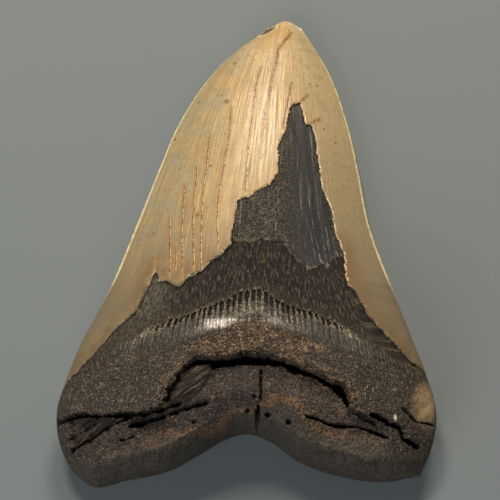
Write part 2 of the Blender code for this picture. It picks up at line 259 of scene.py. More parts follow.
def distance_along(points, x, y):
    """Distance to a line of points, and the length along it of the nearest point."""
    nearest = np.full(x.shape, np.inf)
    along = np.zeros(x.shape)
    travelled = 0.0
    for (ax, ay), (bx, by) in zip(points[:-1], points[1:]):
        dx, dy = bx - ax, by - ay
        length = np.hypot(dx, dy)
        t = np.clip(((x - ax) * dx + (y - ay) * dy) / length ** 2, 0, 1)
        gap = np.hypot(x - ax - t * dx, y - ay - t * dy)
        closer = gap < nearest
        nearest = np.where(closer, gap, nearest)
        along = np.where(closer, travelled + t * length, along)
        travelled += length
    return nearest, along


def depth_inside(polygon, x, y):
    """Distance to a polygon's sides, positive inside it and negative outside."""
    closed = list(polygon) + [polygon[0]]
    distance, _ = distance_along(closed, x, y)
    inside = np.zeros(x.shape, bool)
    for (ax, ay), (bx, by) in zip(closed[:-1], closed[1:]):
        if ay == by:
            continue
        crosses = (ay > y) != (by > y)
        inside ^= crosses & (x < ax + (y - ay) * (bx - ax) / (by - ay))
    return np.where(inside, distance, -distance)


def lumps(x, y, size, layer):
    """Smooth noise between about -1 and 1, of the given wavelength and different on each layer."""
    values = [noise.noise(Vector((px / size, py / size, layer))) for px, py in zip(x.flat, y.flat)]
    return np.array(values).reshape(x.shape)


def unevenness(x, y, kinds):
    """Height of several sizes of lumps together."""
    return sum(height * lumps(x, y, size, layer) for size, height, layer in kinds)


def upper_form(u, v, x, y, edge):
    """The lingual face before its damage: a full, steep-sided root under a lens-shaped crown."""
    crest = np.interp(y, *zip(*CREST))
    crown = smoothstep(-30, -5, y)
    across = np.abs(2 * u - 1)
    fullness = 2.8 - 0.9 * crown
    roundness = 1 / (2.2 - 1.05 * crown)
    side = (1 - across ** fullness) ** roundness
    wall_width = 4.6 - 1.8 * np.exp(-((x - 1) / 12) ** 2)
    from_base = np.clip(v * LENGTH_MM / wall_width, 0, 1)
    wall = 0.8 * (1 - (1 - from_base) ** 2.4) ** (1 / 2.4)
    shelf = 0.2 * smoothstep(0.6, 3.6, v * LENGTH_MM / wall_width)
    tip = (1 - smoothstep(0.93, 1.0, v)) ** 0.5
    return edge + (crest - edge) * side * (wall + shelf) * tip


def lower_form(u, v, edge):
    """The labial face: flat on the ground in the middle, and curling up to the edges."""
    across = np.abs(2 * u - 1)
    side = np.clip((across - 0.4) / 0.6, 0, 1) ** 2.2
    base = np.clip(1 - v * 22, 0, 1) ** 2
    tip = np.clip(1 - (1 - v) * 10, 0, 1) ** 2
    return edge * (1 - (1 - side) * (1 - base) * (1 - tip))


def measure_band(found, u, x, y, fine):
    """The bourlette's top with its comb of pits, and the grooves that run down from them."""
    across = (u - 0.5) * BAND_WIDTH
    across = across + 0.45 * lumps(across, 0 * x, 3.0, 8.0)
    reach = 1 - smoothstep(COMB_REACH - 10, COMB_REACH, np.abs(across))
    arches = np.cos(2 * np.pi * across / COMB_PITCH)
    steps = 0.9 * lumps(across, 0 * x, 4.0, 18.0) + 0.45 * arches * reach
    below = np.interp(x, *zip(*BOURLETTE_TOP)) - y + steps + 0.2 * fine
    pit_end = 2.8 + 1.9 * np.exp(-(across / 14) ** 2) + 1.3 * lumps(across, 0 * x, 2.5, 14.0)
    narrowing = 1.1 * np.clip(below / pit_end, 0, 1) - 0.6
    pits = smoothstep(narrowing - 0.3, narrowing + 0.3, arches + 0.4 * fine) * reach
    pits *= smoothstep(0, 0.4, below)
    pits *= 1 - smoothstep(pit_end - 1.2, pit_end, below)
    grooves = smoothstep(-0.3, 0.5, arches + 0.5 * fine) * reach
    grooves *= smoothstep(0, 1, below)
    grooves *= 1 - smoothstep(5, 8, below)
    found.update(band_along=across, below_band=below, comb=pits, grooves=grooves)


def measure_root(found, x, y, fine, rough):
    """The hollow under the lip, the gap above the torus, broken layers and the basal face."""
    found["below_margin"] = np.interp(x, *zip(*ROOT_MARGIN)) - y + 0.5 * rough
    found["hollow"] = depth_inside(LIP + BELOW_TORUS, x, y) + 0.9 * rough
    found["gap"] = depth_inside(LIP + TORUS_TOP, x, y) + 0.5 * rough
    from_lip, along_lip = distance_along(LIP, x, y)
    found["from_lip"] = from_lip + 0.4 * fine
    found["strands"] = 2 * lumps(from_lip + 0.3 * rough, 0.12 * along_lip, 0.7, 21.0)
    found["wedge"] = depth_inside(LEFT_WEDGE, x, y) + 0.5 * rough
    pocket = depth_inside(LEFT_POCKET, x, y) + 0.8 * rough
    found["pocket"] = np.maximum(pocket, found["wedge"])
    found["layers"] = 2 * lumps(0.6 * x - 0.8 * y, 0.12 * (0.8 * x + 0.6 * y), 0.65, 7.0)
    found["ochre"] = distance_along(OCHRE_LINE, x, y)[0] + 1.0 * rough
    found["basal"] = np.interp(x, *zip(*OCHRE_LINE)) - y + 0.8 * rough


def measure_cracks(found, x, y, rough):
    """Distance to the root's cracks and pores, and how deep these and the left wedge are."""
    nearest = np.full(x.shape, np.inf)
    deepest = np.zeros(x.shape)
    opening = 1 + 0.9 * lumps(x, y, 5.0, 19.0)
    for points, half_width, depth in CRACKS:
        ragged = (0.15 + 0.7 * half_width) * rough
        edge = distance_along(points, x, y)[0] - half_width * opening + ragged
        nearest = np.minimum(nearest, edge)
        cut = depth * (1 - smoothstep(-0.75 * half_width, 0.1, edge))
        deepest = np.maximum(deepest, cut)
    deepest = np.maximum(deepest, WEDGE_DEPTH * smoothstep(0, 0.8, found["wedge"]))
    for px, py, radius in PORES:
        from_pore = np.hypot(x - px, y - py) - radius
        nearest = np.minimum(nearest, from_pore)
        deepest = np.maximum(deepest, PORE_DEPTH * (1 - smoothstep(-0.5, 0.1, from_pore)))
    found.update(crack=nearest, crack_depth=deepest)


def measure_enamel(found, x, y, rough):
    """Distance to the enamel's growth cracks, in mm and in half widths, to its spots and chip."""
    nearest = np.full(x.shape, np.inf)
    nearest_side = np.full(x.shape, np.inf)
    wiggled = x + 0.25 * lumps(x, y, 2.4, 12.0)
    for half_width, points in ENAMEL_CRACKS:
        distance = distance_along(points, wiggled, y)[0]
        crack_y, crack_x = zip(*sorted((py, px) for px, py in points))
        side = np.sign(wiggled - np.interp(y, crack_y, crack_x)) * distance / half_width
        nearest_side = np.where(distance < nearest, side, nearest_side)
        nearest = np.minimum(nearest, distance)
    found.update(enamel_crack=nearest, crack_side=nearest_side)
    found["spot"] = np.min([np.hypot(x - px, y - py) / radius for px, py, radius in SPOTS], axis=0)
    chip_x, chip_y, chip_angle = TIP_CHIP
    along = (x - chip_x) * math.cos(chip_angle) + (y - chip_y) * math.sin(chip_angle)
    beside = (y - chip_y) * math.cos(chip_angle) - (x - chip_x) * math.sin(chip_angle)
    found["chip"] = np.hypot(along / CHIP_LENGTH, beside / CHIP_WIDTH) * 2 + 0.15 * rough


def measures(u, x, y):
    """Every distance on the plan that the shape and the finish are worked out from."""
    fine = 0.8 * lumps(x, y, 1.1, 3.0) + 0.5 * lumps(x, y, 0.5, 4.0)
    rough = fine + lumps(x, y, 2.8, 17.0)
    found = {"bare": depth_inside(ENAMEL_BREAK + BELOW_BREAK, x, y) + 0.45 * rough}
    measure_band(found, u, x, y, fine)
    measure_root(found, x, y, fine, rough)
    measure_cracks(found, x, y, rough)
    measure_enamel(found, x, y, rough)
    found["below_fracture"] = np.interp(x, *zip(*DENTINE_FRACTURE)) - y + 1.0 * rough
    found["fracture"] = np.abs(found["below_fracture"])
    found["from_middle"] = np.abs(x)
    for name, patch in (("right_lobe", RIGHT_LOBE), ("fleck", FLECK)):
        place_x, place_y, half_width, half_height = patch
        found[name] = np.hypot((x - place_x) / half_width, (y - place_y) / half_height)
    return found


def relief(found, x, y):
    """Height of everything that stands proud of the plain form or is cut into it."""
    root = smoothstep(-24, -34, y)
    dentine = smoothstep(-0.1, 0.25, found["bare"])
    step = ENAMEL_THICKNESS * dentine * (1 - 0.6 * smoothstep(-22, -34, y))
    step = step + FRACTURE_STEP * dentine * smoothstep(-0.2, 0.3, found["below_fracture"])
    step = step - FRACTURE_RIDGE * dentine * np.exp(-(found["fracture"] / 0.6) ** 2)
    band = smoothstep(-0.6, 1.2, found["below_band"]) * (1 - smoothstep(4, 14, found["below_band"]))
    floor = LIP_HEIGHT * smoothstep(0, 0.6, found["hollow"])
    floor = floor * (1 - smoothstep(*LIP_FADE, found["from_lip"]))
    pocket = smoothstep(-0.5, 1, found["pocket"])
    floor = floor * (1 - 0.45 * pocket)
    cut = GAP_DEPTH * smoothstep(0, 0.5, found["gap"]) * (1 - smoothstep(1.2, 4.5, found["from_lip"]))
    cut = cut * (1 - 0.9 * pocket)
    above_lip = found["hollow"] < 0
    strands = found["strands"] * np.exp(-(found["from_lip"] / 2) ** 2) * above_lip
    height = LIP_ROLL * np.exp(-(found["from_lip"] / 2.5) ** 2) * above_lip
    height = height + LAYER_HEIGHT * (found["layers"] * pocket + strands)
    height = height + BAND_HEIGHT * band - COMB_DEPTH * found["comb"] - GROOVE_DEPTH * found["grooves"]
    crease = np.exp(-(found["below_margin"] / 0.5) ** 2) * smoothstep(19, 27, np.abs(x))
    height = height - step - floor - cut - found["crack_depth"] - CREASE_DEPTH * crease
    below = smoothstep(0, 1.5, found["below_margin"]) * (1 - 0.75 * smoothstep(0, 2, found["basal"]))
    height = height + root * unevenness(x, y, ROOT_LUMPS) + below * unevenness(x, y, ROOT_GRAIN)
    height = height + dentine * (1 - root) * unevenness(x, y, DENTINE_GRAIN)
    in_crack = 1 - smoothstep(0.1, 0.4, found["enamel_crack"])
    height = height - ENAMEL_CRACK_DEPTH * in_crack * (1 - dentine)
    return height - CHIP_DEPTH * (1 - smoothstep(0.3, 1, found["chip"]))


def row_places():
    """v of every row: close together at the base, then evenly up the crown."""
    t = np.linspace(0, 1, ROOT_ROWS, endpoint=False)
    root = SHOULDER * (0.55 * t + 0.45 * t ** 2)
    crown = SHOULDER + (1 - SHOULDER) * np.linspace(0, 1, CROWN_ROWS + 1)
    return np.concatenate([root, crown])


def column_places():
    """u of every column, closer together at the sides."""
    s = np.linspace(0, 1, COLUMNS + 1)
    return 0.72 * s + 0.28 * (0.5 - 0.5 * np.cos(np.pi * s))


def serrate(points, u, v, row):
    """Moves the cutting edge in and out, row by row, and fades this out into the crown."""
    across = 2 * u - 1
    near_edge = smoothstep(0.975, 1.0, np.abs(across))
    crown = smoothstep(SHOULDER, SHOULDER + 0.06, v) * (1 - smoothstep(0.985, 1, v))
    worn = 0.6 + 0.4 * lumps(40 * v, across, 1.0, 2.0)
    shift = np.where(row % 2 == 0, -1, 1) * 0.5 * SERRATION_DEPTH * near_edge * crown * worn
    points[..., 0] += shift * np.sign(across)


def outward(points):
    """Directions square to a face, but none of them nearly level."""
    normal = np.cross(np.gradient(points, axis=1), np.gradient(points, axis=0))
    normal /= np.maximum(np.linalg.norm(normal, axis=-1, keepdims=True), 1e-9)
    normal[..., 2] = np.maximum(normal[..., 2], STEEPEST)
    return normal / np.linalg.norm(normal, axis=-1, keepdims=True)


def shape_faces():
    """Points of the upper and lower face, row by row, and what is measured on the upper one."""
    u, v = np.meshgrid(column_places(), row_places())
    row = np.arange(v.shape[0])[:, None]
    place = plan(u, v)
    serrate(place, u, v, row)
    x, y, edge = place[..., 0], place[..., 1], place[..., 2]
    found = measures(u, x, y)
    upper = np.stack([x, y, upper_form(u, v, x, y, edge)], axis=-1)
    lower = np.stack([x, y, lower_form(u, v, edge)], axis=-1)

    # relief fades out at the rim, where both faces meet
    inner = smoothstep(0, 2.5, v * LENGTH_MM) * smoothstep(1, 0.95, np.abs(2 * u - 1))
    inner = inner * smoothstep(1.0, 0.985, v)
    height = relief(found, x, y) * inner
    deep = np.minimum(height + STRAIGHT_BELOW, 0)
    upper = upper + (height - deep)[..., None] * outward(upper)
    upper[..., 2] += deep
    under_lip = smoothstep(0.1, 0.6, found["gap"]) * (1 - smoothstep(0.4, 2, found["from_lip"]))
    upper[..., 1] += LIP_UNDERCUT * under_lip * inner
    found["above_edge"] = upper[..., 2] - edge
    return u, upper, lower, found


def grid_object(name, points):
    """A plain grid whose vertices move to the given rows of points."""
    rows, columns = points.shape[:2]
    bpy.ops.mesh.primitive_grid_add(x_subdivisions=columns - 1, y_subdivisions=rows - 1, size=1)
    made = bpy.context.object
    made.name = name
    corners = np.empty(len(made.data.vertices) * 3)
    made.data.vertices.foreach_get("co", corners)
    corners = corners.reshape(-1, 3)
    column = np.rint((corners[:, 0] + 0.5) * (columns - 1)).astype(int)
    row = np.rint((corners[:, 1] + 0.5) * (rows - 1)).astype(int)
    made.data.vertices.foreach_set("co", (points[row, column] * MM).ravel())
    made.data.update()
    return made, row, column


def store(mesh, name, values):
    """Keeps a number for every vertex, for the material to read."""
    layer = mesh.attributes.new(name, "FLOAT", "POINT")
    layer.data.foreach_set("value", np.asarray(values, np.float32).ravel())


def simplify_back(back, row, column):
    """Fewer faces on the labial face, with its rim left as it is."""
    rows, columns = row.max(), column.max()
    inside = (row > 1) & (row < rows - 1) & (column > 1) & (column < columns - 1)
    group = back.vertex_groups.new(name="inside")
    group.add([int(i) for i in np.flatnonzero(inside)], 1.0, "REPLACE")
    fewer = back.modifiers.new("fewer_faces", "DECIMATE")
    fewer.ratio = BACK_FACES / (2 * len(back.data.polygons))
    fewer.vertex_group = group.name
    fewer.use_collapse_triangulate = True
    bpy.ops.object.select_all(action="DESELECT")
    back.select_set(True)
    bpy.context.view_layer.objects.active = back
    bpy.ops.object.modifier_apply(modifier=fewer.name)


def lower_measures(x, y):
    """The labial face has only enamel and root, which meet along an arched line."""
    found = {name: np.full(x.shape, FAR) for name in MEASURES}
    for name in ("hollow", "gap", "pocket", "basal", "comb", "grooves"):
        found[name] = -found[name]
    found["above_edge"] = 0 * x
    line = LABIAL_LINE_TOP - LABIAL_LINE_ARCH * (x / 51) ** 2
    found["bare"] = line - y + 0.6 * lumps(x, y, 4.0, 15.0) + 0.3 * lumps(x, y, 1.2, 16.0)
    return found


def add_face(name, u, points, found, up):
    """One face of the tooth, with its measures kept on the vertices."""
    face, row, column = grid_object(name, points)
    found = dict(found, flow=MEAN_WIDTH * u, rim=0.5 * MEAN_WIDTH * (1 - np.abs(2 * u - 1)),
                 side=2 * u - 1, up=np.full(u.shape, up))
    for measure in MEASURES + ON_MESH:
        store(face.data, measure, np.clip(found[measure][row, column], -FAR, FAR))
    return face, row, column


def make_tooth():
    """The tooth as one closed mesh."""
    u, upper, lower, found = shape_faces()
    front, _, _ = add_face("tooth_front", u, upper, found, 1.0)
    found = lower_measures(lower[..., 0], lower[..., 1])
    back, row, column = add_face("tooth_back", u, lower, found, 0.0)
    back.data.flip_normals()
    simplify_back(back, row, column)

    bm = bmesh.new()
    bm.from_mesh(front.data)
    bm.from_mesh(back.data)
    bmesh.ops.remove_doubles(bm, verts=bm.verts, dist=0.000001)
    mesh = bpy.data.meshes.new("tooth_surface")
    bm.to_mesh(mesh)
    bm.free()
    bpy.data.objects.remove(front)
    bpy.data.objects.remove(back)
    fit_to_frame(mesh)
    mesh.shade_smooth()
    mesh.set_sharp_from_angle(angle=math.radians(SHARP_ANGLE))
    tooth = bpy.data.objects.new("tooth_surface", mesh)
    bpy.context.scene.collection.objects.link(tooth)
    return tooth


def fit_to_frame(mesh):
    """Gives the mesh exactly the box of the tooth that it stands for."""
    low, high = (np.array(corner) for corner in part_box("tooth"))
    points = np.empty(len(mesh.vertices) * 3)
    mesh.vertices.foreach_get("co", points)
    points = points.reshape(-1, 3)
    mine_low, mine_high = points.min(axis=0), points.max(axis=0)
    points = low + (points - mine_low) * (high - low) / (mine_high - mine_low)
    mesh.vertices.foreach_set("co", points.ravel())
    mesh.update()


def linear(hex_colour):
    """An sRGB hex colour as linear light."""
    channels = [int(hex_colour[i:i + 2], 16) / 255 for i in (1, 3, 5)]
    return [c / 12.92 if c <= 0.04045 else ((c + 0.055) / 1.055) ** 2.4 for c in channels] + [1.0]


def add(tree, kind, links=None, out=None, **settings):
    """Adds a node with its settings and links, and gives its first or named output."""
    made = tree.nodes.new(kind)
    for name, value in settings.items():
        setattr(made, name, value)
    for name, value in (links or {}).items():
        if isinstance(name, int):
            socket = made.inputs[name]
        else:
            socket = next(s for s in made.inputs if s.name == name and s.enabled)
        if isinstance(value, bpy.types.NodeSocket):
            tree.links.new(value, socket)
        elif isinstance(value, str):
            socket.default_value = linear(value)
        else:
            socket.default_value = value
    if out:
        return made.outputs[out]
    return next((s for s in made.outputs if s.enabled), None)


def floor_material():
    """Matt painted board, pale grey."""
    material = bpy.data.materials.new("matt painted board")
    material.use_nodes = True
    shader = material.node_tree.nodes["Principled BSDF"]
    shader.inputs["Base Color"].default_value = linear(FLOOR_COLOUR)
    shader.inputs["Roughness"].default_value = FLOOR_ROUGHNESS
    return material


def make_stage():
    """A plain pale floor."""
    bpy.ops.mesh.primitive_plane_add(size=4, location=(0, 0, 0))
    floor = bpy.context.object
    floor.name = "floor"
    floor.data.materials.append(floor_material())


def add_softbox(name, place, size, power, colour, aim=(0, 0, 0.01)):
    """A square area light that faces the tooth."""
    light = bpy.data.lights.new(name, "AREA")
    light.shape = "RECTANGLE"
    light.size, light.size_y = size
    light.energy = power
    light.color = linear(colour)[:3]
    made = bpy.data.objects.new(name, light)
    made.location = place
    made.rotation_euler = (Vector(aim) - Vector(place)).to_track_quat("-Z", "Y").to_euler()
    bpy.context.scene.collection.objects.link(made)


def make_lights():
    """Two softboxes beyond the tip, left and right of it, a weak fill and a grey room."""
    add_softbox("key", (-0.145, 0.47, 0.7), (0.16, 0.16), 4.1, "#ffefda")
    add_softbox("second key", (0.1, 0.6, 0.62), (0.2, 0.2), 4.8, "#ffefda")
    add_softbox("fill", (-0.35, -0.55, 0.4), (0.6, 0.5), 2.7, "#f4f4f2")
    world = bpy.data.worlds.new("room")
    world.use_nodes = True
    background = world.node_tree.nodes["Background"]
    background.inputs["Color"].default_value = linear(ROOM_COLOUR)
    background.inputs["Strength"].default_value = ROOM_STRENGTH
    bpy.context.scene.world = world


def make_camera():
    """Looks down on the tooth as the photograph does."""
    camera = bpy.data.cameras.new("camera")
    camera.sensor_width = 36
    camera.lens = 0.5 * camera.sensor_width / (0.5 * FIELD_HEIGHT / CAMERA_DISTANCE)
    made = bpy.data.objects.new("camera", camera)
    tilt = math.radians(CAMERA_ELEVATION)
    target = Vector(CAMERA_TARGET)
    made.location = target + CAMERA_DISTANCE * Vector((0, -math.cos(tilt), math.sin(tilt)))
    made.rotation_euler = (math.radians(90) - tilt, 0, 0)
    bpy.context.scene.collection.objects.link(made)
    bpy.context.scene.camera = made


# Patterns as (grain in mm, length in mm that it is drawn out to along the growth, detail).
# The real grain of dentine and root is about 0.1 mm, too fine to show in the render, so these
# patterns are drawn as coarse as they need to show.
PATTERNS = {
    "streaks": (0.8, 22, 4),
    "wide_streaks": (3.5, 40, 2),
    "scratches": (0.9, 26, 3),
    "ribs": (0.5, 2.5, 3),
    "fine_ribs": (0.4, 3, 3),
    "grain": (0.55, None, 2),
    "mottle": (1.3, None, 3),
    "dashes": (0.9, None, 2),
    "clouds": (2.5, None, 3),
    "blotches": (9.0, None, 2),
}
LOOSE_GRAIN = 0.32              # size in mm; each grain has its own number from 0 to 1
RIB_PITCH = 0.95
OFF_GRID = math.radians(45)     # turns drawn-out noise so that the edges of its cells don't show


def find_sources(tree):
    """Everything that the finishes are placed by: patterns, the mesh's measures and y, in mm."""
    metres = add(tree, "ShaderNodeTexCoord", out="Object")
    place = add(tree, "ShaderNodeVectorMath", {0: metres, "Scale": 1 / MM}, operation="SCALE")
    y = add(tree, "ShaderNodeSeparateXYZ", {"Vector": place}, out="Y")
    sources = {"y": y}
    for name in MEASURES + ON_MESH:
        sources[name] = add(tree, "ShaderNodeAttribute", out="Fac", attribute_name=name)
    for name, (size, length, detail) in PATTERNS.items():
        where = place
        if length:
            along = add(tree, "ShaderNodeMath", {0: y, 1: size / length}, operation="MULTIPLY")
            where = add(tree, "ShaderNodeCombineXYZ", {"X": sources["flow"], "Y": along})
            where = add(tree, "ShaderNodeVectorRotate", {"Vector": where, "Angle": OFF_GRID},
                        rotation_type="Z_AXIS")
        sources[name] = add(tree, "ShaderNodeTexNoise", {"Vector": where, "Scale": 1 / size,
                                                         "Detail": detail, "Roughness": 0.7})
    cells = add(tree, "ShaderNodeTexVoronoi", {"Vector": place, "Scale": 1 / LOOSE_GRAIN}, out="Color")
    sources["fine_sand"] = add(tree, "ShaderNodeSeparateColor", {"Color": cells}, out="Red")
    sources["ragged"] = add(tree, "ShaderNodeMath", {0: sources["grain"], 1: 0.5}, operation="SUBTRACT")
    wavy = add(tree, "ShaderNodeMath", {0: sources["clouds"], 1: 0.8, 2: sources["band_along"]},
               operation="MULTIPLY_ADD")
    angle = add(tree, "ShaderNodeMath", {0: wavy, 1: 2 * math.pi / RIB_PITCH}, operation="MULTIPLY")
    wave = add(tree, "ShaderNodeMath", {0: angle}, operation="COSINE")
    both = {"Factor": 0.5, "A": wave, "B": sources["fine_ribs"]}
    sources["band_ribs"] = add(tree, "ShaderNodeMix", both, data_type="FLOAT")
    return sources


def strength(tree, sources, most, conditions):
    """How far all conditions hold: each goes from 0 to 1 as its source goes from start to end."""
    result = most
    for name, start, end, *ragged in conditions:
        value = sources[name]
        if ragged:
            value = add(tree, "ShaderNodeMath", {0: sources["ragged"], 1: 2 * ragged[0], 2: value},
                        operation="MULTIPLY_ADD")
        step = add(tree, "ShaderNodeMapRange", {"Value": value, "From Min": start, "From Max": end},
                   interpolation_type="SMOOTHSTEP")
        result = add(tree, "ShaderNodeMath", {0: result, 1: step}, operation="MULTIPLY")
    return result


def tissue(tree, sources, colour, roughness, relief, coats):
    """A finish as colour, roughness and height in mm, with its coats of colour as
    (colour, most, condition, ...)."""
    for over, most, *conditions in coats:
        mask = strength(tree, sources, most, conditions)
        colour = add(tree, "ShaderNodeMix", {"Factor": mask, "A": colour, "B": over}, data_type="RGBA")
    pattern, depth = relief
    height = add(tree, "ShaderNodeMath", {0: sources[pattern], 1: depth}, operation="MULTIPLY")
    return colour, roughness, height


def cover(tree, sources, under, over, *conditions, most=1.0):
    """Lays one finish over another where the conditions hold."""
    mask = strength(tree, sources, most, conditions)
    return [add(tree, "ShaderNodeMix", {"Factor": mask, "A": below, "B": above}, data_type=kind)
            for below, above, kind in zip(under, over, ("RGBA", "FLOAT", "FLOAT"))]


def enamel(tree, sources):
    """Fossil enamel, worn smooth: honey-coloured, with grey and amber streaks along its growth."""
    polish = strength(tree, sources, 1.0, [("y", 8, 28), ("streaks", 0.38, 0.56)])
    gloss = add(tree, "ShaderNodeMix", {"Factor": polish, "A": 0.56, "B": 0.3}, data_type="FLOAT")
    return tissue(tree, sources, "#ab8f62", gloss, ("streaks", 0.1), [
        ("#c0a473", 1.0, ("wide_streaks", 0.35, 0.65)),
        ("#9b957c", 0.9, ("side", -0.2, -0.55), ("blotches", 0.25, 0.65)),
        ("#ae9f7b", 0.9, ("side", 0.3, 0.6)),
        # painted shade: the right flank darker below y = 44 mm
        ("#978a6a", 0.7, ("side", 0.3, 0.6), ("y", 44, 12)),
        # paler streaks in the middle of the crown: partly the enamel's own streaks, partly a painted
        # highlight along its crest
        ("#e0c08c", 0.9, ("streaks", 0.52, 0.66), ("rim", 8, 20)),
        ("#86693f", 0.7, ("streaks", 0.46, 0.34)),
        ("#8d7446", 0.35, ("mottle", 0.5, 0.65)),
        ("#8c8468", 0.35, ("clouds", 0.52, 0.64)),
        ("#c4aa78", 0.3, ("fine_sand", 0.7, 0.9)),
        ("#8a5f27", 0.9, ("bare", -7, -0.6), ("y", 8, -12), ("blotches", 0.3, 0.55)),
        ("#6a614d", 0.75, ("y", 20, -24)),
        ("#6f5536", 0.5, ("mottle", 0.66, 0.72)),
        ("#7d5527", 0.8, ("spot", 1.1, 0.4, 0.5)),
        ("#5a4a35", 0.9, ("chip", 0.9, 0.6)),
        ("#e0cba0", 0.8, ("chip", 1.3, 1.1), ("chip", 0.9, 1.1)),
        ("#9b7640", 0.6, ("enamel_crack", 1.1, 0.3, 0.4)),
        ("#916c40", 0.7, ("crack_side", -1.2, -0.6), ("crack_side", 1.2, 0.6),
         ("enamel_crack", 0.9, 0.7)),
        ("#e6d3a8", 0.9, ("crack_side", 0.6, 1.1, 0.8), ("crack_side", 2.4, 1.7, 0.8),
         ("enamel_crack", 0.9, 0.7), ("y", 44, 14), ("dashes", 0.42, 0.52)),
        ("#6b4730", 0.85, ("crack_side", -1.8, -0.8, 2.0), ("crack_side", 1.8, 0.8, 2.0),
         ("enamel_crack", 0.9, 0.7), ("dashes", 0.54, 0.46)),
        # painted light: the thin cutting edge drawn pale cream, as light shining through it
        ("#ede3b0", 0.95, ("rim", 0.9, 0.45), ("up", 0.2, 0.8), ("above_edge", 2.2, 0.8)),
        ("#7d7452", 0.6, ("rim", 0.7, 0.3), ("mottle", 0.48, 0.6)),
    ])


def dentine(tree, sources):
    """Mineralised dentine, bare where the enamel is gone: dark, dull and finely pitted."""
    pitting = strength(tree, sources, 0.9, [("side", 0.45, 0.25)])
    return tissue(tree, sources, "#0d0b08", 0.6, ("grain", pitting), [
        ("#4d453b", 1.0, ("grain", 0.42, 0.58)),
        ("#5d554a", 0.7, ("clouds", 0.48, 0.6), ("grain", 0.38, 0.56), ("side", 0.4, 0.2)),
        ("#080605", 0.5, ("wide_streaks", 0.46, 0.34)),
        ("#1f2123", 0.85, ("side", 0.26, 0.42, 0.1)),
        # painted sheen: paler bluish streaks on the smooth right part of the bare dentine
        ("#3e4144", 0.8, ("side", 0.26, 0.42, 0.1), ("wide_streaks", 0.48, 0.62), ("grain", 0.3, 0.6)),
        ("#0a0806", 0.6, ("fine_sand", 0.3, 0.1)),
        ("#8f8575", 0.8, ("fine_sand", 0.72, 0.95), ("mottle", 0.4, 0.6), ("side", 0.45, 0.15)),
        ("#5f584d", 0.6, ("scratches", 0.5, 0.62), ("y", 2, 12)),
        ("#9a978f", 0.7, ("scratches", 0.57, 0.66), ("clouds", 0.4, 0.6)),
    ])


def lower_dentine(tree, sources):
    """Dentine below the fracture: browner, with fine ribs that run down to the bourlette."""
    return tissue(tree, sources, "#040302", 0.85, ("ribs", 1.2), [
        ("#3b3227", 1.0, ("ribs", 0.49, 0.57)),
        ("#40362b", 0.7, ("blotches", 0.44, 0.6), ("ribs", 0.46, 0.55)),
        ("#52483a", 0.6, ("clouds", 0.5, 0.62), ("ribs", 0.44, 0.56)),
        ("#5f574b", 0.6, ("band_along", -18, -30), ("grain", 0.4, 0.55)),
        ("#7b776e", 0.55, ("band_along", -24, -29, 3), ("band_along", -37, -32, 3), ("y", -28, -24, 3),
         ("ribs", 0.4, 0.6)),
        ("#3b3225", 0.5, ("below_band", -5.0, -1.0, 1.0)),
        ("#7b705a", 0.8, ("ribs", 0.55, 0.62), ("fine_sand", 0.4, 0.8)),
        ("#040302", 0.7, ("fine_sand", 0.3, 0.1)),
    ])


def bourlette(tree, sources):
    """The band above the root: smoother than the dentine and finely ribbed."""
    return tissue(tree, sources, "#12100d", 0.65, ("band_ribs", 0.07), [
        ("#332d25", 1.0, ("grain", 0.4, 0.6)),
        ("#7a6f5d", 0.6, ("band_ribs", 0.45, 0.75), ("below_band", 11, 3), ("mottle", 0.42, 0.6)),
        # painted shade: near-black in the grooves below the comb
        ("#0b0907", 0.9, ("grooves", 0.2, 0.7, 0.3), ("from_middle", 26, 14)),
        ("#a59b88", 0.7, ("grooves", 0.5, 0.1), ("below_band", 2, 4), ("below_band", 9, 6),
         ("from_middle", 20, 10), ("grain", 0.48, 0.58)),
        ("#8f8268", 0.7, ("below_band", 3.2, 1.6), ("grain", 0.42, 0.58), ("from_middle", 32, 24)),
        ("#8b806c", 0.4, ("fine_sand", 0.8, 0.95)),
    ])


def glossy_band_painted_highlight(tree, sources):
    """The middle of the bourlette, where handling has polished it: glossier, with a painted highlight
    in its pale grey to white colour.
    """
    return tissue(tree, sources, "#a5a19b", 0.3, ("band_ribs", 0.1), [
        ("#f0eeea", 0.9, ("band_ribs", 0.3, 0.6), ("mottle", 0.3, 0.5)),
        ("#2a2620", 0.6, ("fine_sand", 0.3, 0.1)),
    ])


def spongy_tissue(tree, sources):
    """Spongy brown tissue between the bourlette and the lip, and along the lip."""
    return tissue(tree, sources, "#140e09", 0.7, ("grain", 0.9), [
        ("#5b4a39", 1.0, ("grain", 0.42, 0.58)),
        ("#6b5540", 0.5, ("blotches", 0.48, 0.6), ("grain", 0.4, 0.56)),
        ("#17110c", 0.6, ("clouds", 0.48, 0.36)),
        ("#0c0805", 0.7, ("fine_sand", 0.3, 0.1)),
        ("#8d7359", 0.6, ("band_along", 4, 16), ("clouds", 0.42, 0.56), ("grain", 0.4, 0.52)),
        ("#b39a7c", 0.8, ("fine_sand", 0.7, 0.95), ("clouds", 0.38, 0.58)),
        # painted shade: near-black in the hollows between the strands along the lip
        ("#0b0705", 0.8, ("strands", -0.1, -0.6, 0.3), ("from_lip", 2.6, 1.2, 1)),
    ])


def root(tree, sources):
    """Mineralised root, like fired clay: dull, dark brown and speckled."""
    return tissue(tree, sources, "#120e0a", 0.6, ("grain", 0.8), [
        ("#504436", 1.0, ("grain", 0.4, 0.6)),
        ("#33302a", 0.5, ("blotches", 0.48, 0.6), ("clouds", 0.4, 0.6)),
        ("#0a0705", 0.7, ("fine_sand", 0.3, 0.1)),
        ("#998873", 0.8, ("fine_sand", 0.75, 0.97), ("mottle", 0.4, 0.6)),
    ])


